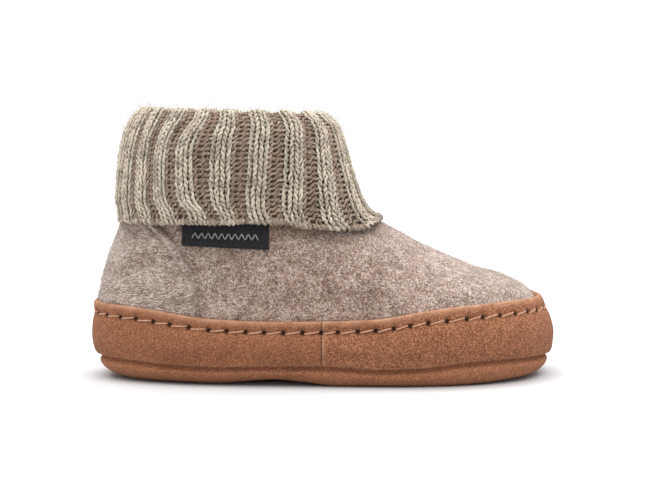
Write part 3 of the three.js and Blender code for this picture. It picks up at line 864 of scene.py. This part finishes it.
class SLIPPER_OT_rand(bpy.types.Operator):
    """Suede rand in two lengths, drawn in at the stitches and pierced by needle holes"""

    bl_idname = "slipper.rand"
    bl_label = "Rand"

    def face(self, share, angle, toe, suede, thread):
        """Outer face of one length of the rand, where it is worn, and where shade is painted in its needle
        holes and along its join.
        """
        low, high, height = rand_heights(angle, share)
        skin = last_skin(height, angle)
        below = high - height
        from_line = below - 1000 * thread.below
        near = off_skin(last_skin, height, angle, HOLE_REACH)
        apart = np.min([np.linalg.norm(near - hole, axis=-1) for hole in needle_holes(thread)], axis=0)
        hole = bell(apart, 1.0)
        proud = read_table(RAND_PROFILE, 1, share) - 0.3 * bell(from_line, 1.2)
        swell = 0.24 * lumps(skin, 16.0, 41) + 0.1 * lumps(skin, 6.0, 42)
        join = np.abs(skin[..., 0] + LENGTH / 2 - RAND_JOIN * LENGTH / 100)
        lap = 0.2 * bell(join, 5.0) - 0.3 * bell(join, 0.5) if toe else -0.25 * bell(join, 1.2)
        raw = 0.6 * bell(join - 0.4, 0.9) * toe
        drawn = 0.28 * bell(apart, 2.2) + 1000 * suede.hole * hole
        distance = GAP + proud + swell * np.minimum(1, 6 * share) + lap - drawn
        worn = np.clip(0.9 * bell(below - 0.3, 1.1) + 0.35 * bell(height - low, 0.7) + raw, 0, 1)
        rough = 0.65 + 0.35 * lumps(skin, 3.0, 43)
        # painted shade inside the needle holes, and a faint painted shade line along the join
        painted_shade_in_holes_and_join = np.maximum(np.clip(1.6 * hole - 0.25, 0, 0.96), 0.12 * bell(join, 0.5))
        return off_skin(last_skin, height, angle, distance), np.clip(worn * rough, 0, 1), painted_shade_in_holes_and_join

    def execute(self, context):
        suede = context.scene.slipper_suede
        thread = context.scene.slipper_thread
        bands = ((0, 0.12, 7), (0.14, 0.66, 18), (0.68, 1, 24))
        share = np.concatenate([np.linspace(*band) for band in bands])[:, None]
        for name, toe, nap, columns in (("rand_heel", False, 0.55, 400), ("rand_toe", True, 0.8, 480)):
            station = (RAND_JOIN + (JOIN_SLIT if toe else -JOIN_SLIT)) * LENGTH / 100
            edge = last_angle(np.array(RAND_MIDDLE), station)
            first, last = (-edge, edge) if toe else (edge, 2 * math.pi - edge)
            middle = foot_angles(columns, first, last)[None]
            height = rand_line(share)(station)
            upright = last_angle(height, station)
            centre = 0.0 if toe else math.pi
            reach = np.abs(upright - centre)
            angle = centre + (middle - centre) * reach / abs(edge - centre)
            outside, worn, painted_shade_in_holes_and_join = self.face(share, angle, toe, suede, thread)
            few = np.linspace(0, len(share) - 1, 9).astype(int)
            inside = off_skin(last_skin, rand_heights(angle, share)[2][few], angle[few], 0.05)
            material = suede_material(f"suede_{name}", suede.rand, suede.edge, nap)
            marks = {"worn": worn, "painted_shade_in_holes_and_join": painted_shade_in_holes_and_join}
            piece = wall_piece(f"{name}_suede", outside, inside, material, False, marks)
            settle(piece, "rand_suede", name)
        return {"FINISHED"}


class SLIPPER_OT_stitches(bpy.types.Operator):
    """Running stitch of pale thread from hole to hole round the rand"""

    bl_idname = "slipper.stitches"
    bl_label = "Rand stitches"

    def execute(self, context):
        thread = context.scene.slipper_thread
        holes, lengths, around = stitch_places(thread)
        after = np.roll(holes, -1)
        after[-1] += lengths[-1]

        def place(lengths_along, distance, lift=0.0):
            angle = np.interp(lengths_along % lengths[-1], lengths, around)
            height = height_on(angle, rand_line(1.0, lift - 1000 * thread.below))
            return off_skin(last_skin, height, angle, distance), skin_normal(last_skin, height, angle)

        first, _ = place(holes + STITCH_END, 1.75, -STITCH_SLANT)
        last, _ = place(after - STITCH_END, 1.75, STITCH_SLANT)
        middle, out = place((holes + after) / 2, 1.8)
        piece = point_cloud("rand_stitches", middle, last - first, out)
        material = plain_material("rand_thread", thread.colour, 0.8, 0.15, 1400.0)
        grow(piece, stitch_tree(), {"Thread Radius": thread.radius, "Material": material})
        settle(piece, "rand_suede")
        return {"FINISHED"}


class SLIPPER_OT_outsole(bpy.types.Operator):
    """Suede outsole with a rolled edge, an arch and a little toe spring"""

    bl_idname = "slipper.outsole"
    bl_label = "Outsole"

    def execute(self, context):
        suede = context.scene.slipper_suede
        angle = foot_angles(361)[:-1]
        low = height_on(angle, rand_line(0.0))
        rim = last_skin(low + SOLE_HIDDEN, angle)
        out = normalised(skin_normal(last_skin, rim[:, 2], angle) * (1, 1, 0))
        percent = 100 * (rim[:, 0] + LENGTH / 2) / LENGTH
        under = read_table(SOLE_LINES, 1, percent)
        roll = read_table(SOLE_LINES, 2, percent)
        middle = np.stack([rim[:, 0] * 0.8, np.full(len(rim), 2.0), under], -1)
        rings = [rim * (0.85, 0.85, 1.0), rim, np.column_stack([rim[:, :2], low - GAP / 2])]
        for turn in np.linspace(0, math.pi / 2, 26):
            inwards = roll * (1 - math.cos(turn)) - SOLE_BULGE * math.cos(turn) ** 2
            ring = rim - out * inwards[:, None]
            ring[:, 2] = under + (low - GAP - under) * (1 - math.sin(turn))
            ring -= out * 2.3 * bell(low - GAP - ring[:, 2], 1.6)[:, None]
            swell = 0.15 * lumps(ring, 14.0, 51) + 0.06 * lumps(ring, 4.0, 52)
            ring += out * swell[:, None] * math.cos(turn)
            rings.append(ring)
        edge = rings[-1]
        for share in (0.9, 0.7, 0.45):
            ring = middle + (edge - middle) * share
            ring[:, 2] = edge[:, 2]
            rings.append(ring)
        material = suede_material("suede_outsole", suede.sole, suede.edge, 0.5)
        settle(pad_piece("outsole_suede", np.array(rings), material), "outsole_suede", "outsole")
        return {"FINISHED"}


class SLIPPER_OT_insole(bpy.types.Operator):
    """Felt insole, a soft pad on the sole inside the upper"""

    bl_idname = "slipper.insole"
    bl_label = "Insole"

    def execute(self, context):
        felt = context.scene.slipper_felt
        angle = foot_angles(241)[:-1]
        base = height_on(angle, rand_line(0.0, SOLE_HIDDEN + GAP))
        rim = off_skin(last_skin, base, angle, -FELT_WALL - 0.8)
        middle = np.stack([rim[:, 0] * 0.8, np.full(len(rim), 2.0), base], -1)
        rings = []
        for share, rise in INSOLE_EDGE:
            rings.append(middle + (rim - middle) * share + (0, 0, rise))
        for share in np.linspace(0.85, 0.1, 14):
            ring = middle + (rim - middle) * share + (0, 0, INSOLE_THICK)
            ring[:, 2] += 0.12 * lumps(ring, 9.0, 61)
            rings.append(ring)
        material = plain_material("felt_insole", felt.inside, 0.96, 0.3, 900.0)
        piece = settle(pad_piece("insole_felt", np.array(rings), material), "insole_felt", "insole")
        return {"FINISHED"}


class Fabric:
    """The cuff's face laid out flat: a share of the way from the hem over the fold, and a wale number."""

    WALES = 4 * RIBS
    COLUMNS = 20 * WALES
    ROWS = 300

    def __init__(self):
        wale = np.linspace(0, self.WALES, self.COLUMNS + 1)
        ribs = np.arange(RIBS)
        half = 0.29 + 0.13 * bell(np.abs(ribs / RIBS - np.round(ribs / RIBS)) - 0.42, 0.06)
        marks = np.stack([np.roll(half, 1) - 1, np.full(RIBS, -0.5), -half, np.zeros(RIBS)], -1)
        edges = np.append((ribs[:, None] + marks).reshape(-1), RIBS + marks[0, 0])
        turn = np.interp(wale, np.arange(self.WALES + 1), edges) / RIBS
        turn = turn - np.round(turn)
        number = np.linspace(0, 10, 121)
        angle = np.array([self.rib_angle(row, turn) for row in number])
        path = row_lengths(np.swapaxes(cuff_skin(number[:, None], angle), 0, 1))
        self.length = float(path[:, -1].mean())
        asked = np.linspace(0, 1, self.ROWS + 1)
        level = np.array([np.interp(asked * row[-1], row, number) for row in path]).T
        bent = np.array([np.interp(level[:, k], number, np.unwrap(angle[:, k])) for k in range(len(wale))]).T
        self.places = cuff_skin(level, bent)
        self.normals = skin_normal(cuff_skin, level, bent)

    @staticmethod
    def rib_angle(number, turn):
        """Angles on a section of the cuff at shares of all ribs from the toe, under 0 on the outer side."""
        share = read_table(RIB_SPREAD, 1, np.abs(turn))
        lean = read_table(CUFF_SECTIONS, 9, number) / 100
        share = np.minimum(0.5, share + lean * np.sin(math.pi * np.minimum(1, share / LEAN_END)))
        share = share + read_table(RIB_BOW, 1, number) / 100 * bell(share - BOW_MIDDLE, BOW_WIDTH)
        side = np.linspace(0, math.pi, 1201)
        lengths = row_lengths(cuff_skin(number, side)[None])[0]
        angle = np.interp(2 * share * lengths[-1], lengths, side)
        return np.where(turn < 0, 2 * math.pi - angle, angle)

    def read(self, share, wale):
        """Points and normals of the face."""
        row = np.clip(share, 0, 1) * self.ROWS
        column = (wale % self.WALES) * (self.COLUMNS // self.WALES)
        r, c = np.minimum(row.astype(int), self.ROWS - 1), np.minimum(column.astype(int), self.COLUMNS - 1)
        u, v = (row - r)[..., None], (column - c)[..., None]

        def blend(grid):
            near = grid[r, c] * (1 - v) + grid[r, c + 1] * v
            far = grid[r + 1, c] * (1 - v) + grid[r + 1, c + 1] * v
            return near * (1 - u) + far * u

        return blend(self.places), normalised(blend(self.normals))

    @staticmethod
    def relief(wale):
        """How far a wale lies back: 0 on the ribs, 1 in the furrows."""
        return (0.5 + 0.5 * np.cos(2 * math.pi * (wale - 1) / 4)) ** 0.8

    @staticmethod
    def knit_side(wale):
        """1 on the plain wales of the ribs, -1 on the purl wales of the furrows."""
        return -np.clip(3.0 * np.sin(2 * math.pi * wale / 4), -1, 1)


def tube(line, normal, radius, sides=5, twist=1.6):
    """Points of a closed two-ply yarn along a closed line."""
    along = normalised(np.roll(line, -1, 0) - np.roll(line, 1, 0))
    across = normalised(np.cross(along, normal))
    out = np.cross(across, along)
    travelled = np.cumsum(np.linalg.norm(line - np.roll(line, 1, 0), axis=1))[:, None]
    turn = np.arange(sides)[None] * 2 * math.pi / sides
    size = radius * (1 + 0.13 * np.cos(2 * (turn - twist * travelled)))
    ring = np.cos(turn)[..., None] * out[:, None] + np.sin(turn)[..., None] * across[:, None]
    return line[:, None] + ring * size[..., None]


def yarn_piece(name, tubes, rib, shade, material):
    """Many closed yarns as one mesh."""
    steps, sides = tubes[0].shape[:2]
    faces = [grid_faces(steps, sides, True, True, k * steps * sides) for k in range(len(tubes))]
    points = np.array(tubes).reshape(-1, 3)
    marks = {"rib": np.repeat(np.array(rib), sides), "shade": np.repeat(np.array(shade), sides)}
    return make_piece(name, points, facing_out(points, np.concatenate(faces).tolist()), material, marks)


class SLIPPER_OT_cuff_wall(bpy.types.Operator):
    """Close cloth behind the loops of the cuff"""

    bl_idname = "slipper.cuff_wall"
    bl_label = "Cuff backing"

    def execute(self, context):
        knit = context.scene.slipper_knit
        fabric = Fabric()
        wale = np.linspace(0, fabric.WALES, 369)[None, :-1]
        share = np.linspace(0.012, 0.985, 49)[:, None]
        share, wale = np.broadcast_arrays(share, wale)
        place, out = fabric.read(share, wale)
        depth = 1.9 + 300 * knit.furrow * fabric.relief(wale)
        outside = place - out * np.minimum(depth, KNIT_WALL - 0.1)[..., None]
        inside = (place - out * KNIT_WALL)[::3]
        # painted shadow: the backing is coloured near-black for the shade in the gaps between the loops
        material = plain_material("knit_painted_gap_shadow", knit.painted_gap_shadow, 0.97, 0.3)
        settle(wall_piece("cuff_backing", outside, inside, material, True), "cuff_knit", "knit_cuff")
        return {"FINISHED"}


class SLIPPER_OT_cuff_yarn(bpy.types.Operator):
    """Every loop of the ribbed cuff, course by course, and the cast-off edge at its hem"""

    bl_idname = "slipper.cuff_yarn"
    bl_label = "Cuff yarn"

    STEPS = 10
    PARTS = 3
    HEM_STRANDS = 3

    def drift(self, fabric, wale, source, low, high):
        """A random number for each wale, blended from one to the next."""
        return np.interp(wale, np.arange(fabric.WALES), source.uniform(low, high, fabric.WALES))

    def course(self, fabric, number, courses, knit, source):
        """One course of loops: its yarn, how much of it is rib, and its shade, random per stitch with painted
        shade where the loop lies back.
        """
        turn = np.arange(fabric.WALES * self.STEPS) * 2 * math.pi / self.STEPS
        plain = turn / (2 * math.pi)
        stitch = np.minimum((plain + 1e-6).astype(int), fabric.WALES - 1)
        side = fabric.knit_side(plain)
        reach = knit.reach * self.drift(fabric, plain, source, 0.85, 1.15)
        shift = self.drift(fabric, plain, source, -0.08, 0.08)
        wale = plain + knit.lean * np.sin(2 * turn) + shift
        climb = knit.slant * (0.5 - 0.5 * side) * np.sin(2 * turn)
        share = (number + 0.5 - reach * np.cos(turn) + climb) / courses
        place, out = fabric.read(np.clip(share, 0.004, 0.996), wale)
        lift = -1000 * knit.weave * side * np.cos(2 * turn)
        back = 1.0 + 1000 * knit.furrow * fabric.relief(plain)
        line = place + out * (lift - back + source.uniform(-0.15, 0.15, fabric.WALES)[stitch])[..., None]
        # painted shade on the parts of each loop that lie back
        painted_deep_shade = -0.28 * np.clip(0.5 - lift, 0, 1)
        shade = source.uniform(-0.12, 0.12, fabric.WALES)[stitch] + painted_deep_shade
        rib = np.clip(0.5 + 0.5 * side + source.uniform(-0.15, 0.3, fabric.WALES)[stitch], 0, 1)
        return tube(line, out, 1000 * knit.radius), rib, shade

    def hem(self, fabric, strand, knit, source):
        """One strand of the cast-off edge, wound round the hem."""
        wale = np.arange(fabric.WALES * self.STEPS) / self.STEPS
        turn = (3 + 0.7 * strand) * math.pi * wale + 2 * strand
        place, out = fabric.read(np.full(len(wale), 0.004), wale)
        along = normalised(np.roll(place, -1, 0) - np.roll(place, 1, 0))
        down = np.cross(along, out)
        size = self.drift(fabric, wale, source, 0.35, 1.0)[:, None]
        drop = self.drift(fabric, wale, source, 0.2, 1.1)[:, None]
        swing = size * (0.7 * np.cos(turn)[:, None] * out + np.sin(turn)[:, None] * down) + drop * down
        line = place - out * (1.1 + 600 * knit.furrow * fabric.relief(wale))[:, None] + swing
        shade = np.repeat(source.uniform(-0.3, 0.1, fabric.WALES), self.STEPS)
        rib = 0.25 + 0.25 * strand + 0.15 * fabric.knit_side(wale)
        return tube(line, out, 950 * knit.radius), rib, shade

    def execute(self, context):
        knit = context.scene.slipper_knit
        fabric = Fabric()
        source = np.random.default_rng(71)
        material = yarn_material(knit)
        courses = round(fabric.length / (1000 * knit.course))
        height = math.ceil(courses / self.PARTS)
        for part, start in enumerate(range(0, courses, height)):
            numbers = range(start, min(start + height, courses))
            made = [self.course(fabric, number, courses, knit, source) for number in numbers]
            settle(yarn_piece(f"cuff_yarn_{part + 1}", *zip(*made), material), "cuff_knit")
        made = [self.hem(fabric, strand, knit, source) for strand in range(self.HEM_STRANDS)]
        settle(yarn_piece("cuff_hem", *zip(*made), material), "cuff_knit")
        return {"FINISHED"}


class SLIPPER_OT_label(bpy.types.Operator):
    """Bare woven tab caught under the cuff, with a plain row of chevrons"""

    bl_idname = "slipper.label"
    bl_label = "Label tab"

    def spot(self, along, up, extra):
        """Points of the tab and the way out from it, by shares of its length and height."""
        station = TAB_BACK + (TAB_FRONT - TAB_BACK) * along
        height = TAB_LOW - TAB_DROP * along + (TAB_HIGH - TAB_LOW + TAB_DROP * along) * up
        angle = 2 * math.pi - last_angle(height, station)
        curl = 1.1 + 0.55 * (1 - up) ** 2 + 0.12 * np.sin(5 * along + 0.6) * (1 - up) + extra
        return off_skin(last_skin, height, angle, curl), skin_normal(last_skin, height, angle)

    def execute(self, context):
        label = context.scene.slipper_label
        warps, wefts = 181, 64
        along, up = np.meshgrid(np.linspace(0, 1, warps), np.linspace(0, 1, wefts))
        from_ends = np.minimum(along, 1 - along) * (TAB_FRONT - TAB_BACK)
        inset = np.minimum(from_ends, np.minimum(up, 1 - up) * TAB_TALL)
        weave = 0.06 * np.sin(along * warps * 0.5 * math.pi) * np.sin(up * wefts * 0.5 * math.pi)
        hem = 0.22 * bell(inset - 0.6, 0.5) - 0.3 * bell(inset, 0.3)
        outside, _ = self.spot(along, up, weave + hem)
        inside, _ = self.spot(along[::9], up[::9], -0.75)
        material = plain_material("label_weave", label.colour, 0.75, 0.7, 1700.0)
        settle(wall_piece("label_tab_weave", outside, inside, material, False), "label_weave", "label_tab")
        legs = np.arange(2 * label.chevrons)
        step = CHEVRON_SPAN / len(legs)
        start = CHEVRON_BACK + step * legs
        low, high = CHEVRON_LOW, CHEVRON_HIGH
        first, _ = self.spot(start, np.where(legs % 2 == 0, low, high), 0.1)
        last, _ = self.spot(start + step, np.where(legs % 2 == 0, high, low), 0.1)
        middle, out = self.spot(start + step / 2, np.full(len(legs), (low + high) / 2), 0.1)
        piece = point_cloud("label_chevrons", middle, last - first, out)
        material = plain_material("label_thread", label.thread, 0.8)
        grow(piece, stitch_tree(), {"Thread Radius": label.radius, "Material": material})
        settle(piece, "label_weave")
        return {"FINISHED"}


class SLIPPER_OT_fibres(bpy.types.Operator):
    """Loose wool fibres over the felt and the knit"""

    bl_idname = "slipper.fibres"
    bl_label = "Loose fibres"

    def execute(self, context):
        felt = context.scene.slipper_felt
        knit = context.scene.slipper_knit
        tree = fibre_tree()
        angle = foot_angles(241)[None, :-1]
        foot = height_on(angle, rand_line(1.0, -0.5))
        height = foot + (FIBRE_TOP - foot) * np.linspace(0, 1, 40)[:, None]
        bare = felt_face(height, angle, felt)
        heel = bare[..., 0] < -60
        bare = bare + skin_normal(last_skin, height, angle) * np.where(heel, 1.3, 0.0)[..., None]
        fabric = Fabric()
        share, wale = np.linspace(0.01, 0.9, 50)[:, None], np.linspace(0, fabric.WALES, 369)[None, :-1]
        share, wale = np.broadcast_arrays(share, wale)
        loops, out = fabric.read(share, wale)
        loops = loops - out * (0.2 + 1000 * knit.furrow * fabric.relief(wale))[..., None]
        rows = (
            ("upper_fibres", bare, felt.fibres, felt.fibre, "upper_felt", felt.dark, felt.pale),
            ("cuff_fibres", loops, knit.fibres, knit.fibre, "cuff_knit", knit.brown, knit.pale),
        )
        for name, face, density, length, slot, dark, pale in rows:
            faces = grid_faces(*face.shape[:2], False, True).tolist()
            material = fibre_material(f"{name}_wool", dark, pale)
            piece = make_piece(name, face, faces, material)
            values = {
                "Density": density,
                "Length": length,
                "Slimness": felt.fibre_radius / felt.fibre,
                "Lean": 1.45,
                "Seed": felt.seed,
                "Material": material,
            }
            settle(grow(piece, tree, values), slot)
        return {"FINISHED"}


class SLIPPER_OT_stage(bpy.types.Operator):
    """Pale floor, soft light and the camera"""

    bl_idname = "slipper.stage"
    bl_label = "Stage"

    def execute(self, context):
        stage = context.scene.slipper_stage
        signs = ((-1, -1), (1, -1), (1, 1), (-1, 1))
        corners = [(FLOOR_REACH * x, FLOOR_REACH * y, FLOOR_LEVEL) for x, y in signs]
        material, tree, shader = start_material("floor_paint", 0.9, 0.0)
        grain = noise(tree, object_place(tree), 3.0)
        paler = tuple(min(1.0, value * 1.03) for value in stage.floor)
        tree.links.new(ramp(tree, grain, [(0.3, stage.floor), (0.7, paler)]), shader.inputs["Base Color"])
        make_piece("floor", corners, [(0, 1, 2, 3)], material)
        world = bpy.data.worlds.new("studio")
        world.use_nodes = True
        sky = world.node_tree.nodes["Background"]
        sky.inputs["Color"].default_value = (1.0, 1.0, 1.0, 1.0)
        sky.inputs["Strength"].default_value = stage.sky
        context.scene.world = world
        lamp = bpy.data.lights.new("overhead", "SUN")
        lamp.energy = stage.lamp
        lamp.angle = stage.softness
        put("overhead", lamp).rotation_euler = (stage.tilt, 0, 0)
        eye = bpy.data.cameras.new("photo_camera")
        eye.sensor_fit = "HORIZONTAL"
        eye.sensor_width = 36.0
        eye.lens = stage.lens
        eye.clip_start = 0.01
        camera = put("photo_camera", eye)
        camera.location = (0, -stage.distance, stage.eye)
        camera.rotation_euler = (math.pi / 2 - stage.pitch, 0, 0)
        context.scene.camera = camera
        context.scene.view_settings.view_transform = "Standard"
        return {"FINISHED"}


GROUPS = {
    "slipper_felt": SlipperFelt,
    "slipper_knit": SlipperKnit,
    "slipper_suede": SlipperSuede,
    "slipper_thread": SlipperThread,
    "slipper_label": SlipperLabel,
    "slipper_stage": SlipperStage,
}
STEPS = (
    SLIPPER_OT_upper,
    SLIPPER_OT_counter,
    SLIPPER_OT_rand,
    SLIPPER_OT_stitches,
    SLIPPER_OT_outsole,
    SLIPPER_OT_insole,
    SLIPPER_OT_cuff_wall,
    SLIPPER_OT_cuff_yarn,
    SLIPPER_OT_label,
    SLIPPER_OT_fibres,
    SLIPPER_OT_stage,
)


class SLIPPER_PT_pieces(bpy.types.Panel):
    """Sizes, colours and the steps that build the slipper"""

    bl_label = "Wool Slipper"
    bl_idname = "SLIPPER_PT_pieces"
    bl_space_type = "VIEW_3D"
    bl_region_type = "UI"
    bl_category = "Slipper"

    def draw(self, context):
        for label, group in GROUPS.items():
            box = self.layout.box()
            for name in group.__annotations__:
                box.prop(getattr(context.scene, label), name)
        for step in STEPS:
            self.layout.operator(step.bl_idname)


def register():
    for kind in (*GROUPS.values(), *STEPS, SLIPPER_PT_pieces):
        bpy.utils.register_class(kind)
    for label, group in GROUPS.items():
        setattr(bpy.types.Scene, label, PointerProperty(type=group))


def unregister():
    for label in GROUPS:
        delattr(bpy.types.Scene, label)
    for kind in reversed((*GROUPS.values(), *STEPS, SLIPPER_PT_pieces)):
        bpy.utils.unregister_class(kind)


def main():
    register()
    for step in STEPS:
        group, name = step.bl_idname.split(".")
        getattr(getattr(bpy.ops, group), name)()


if __name__ == "__main__":
    main()
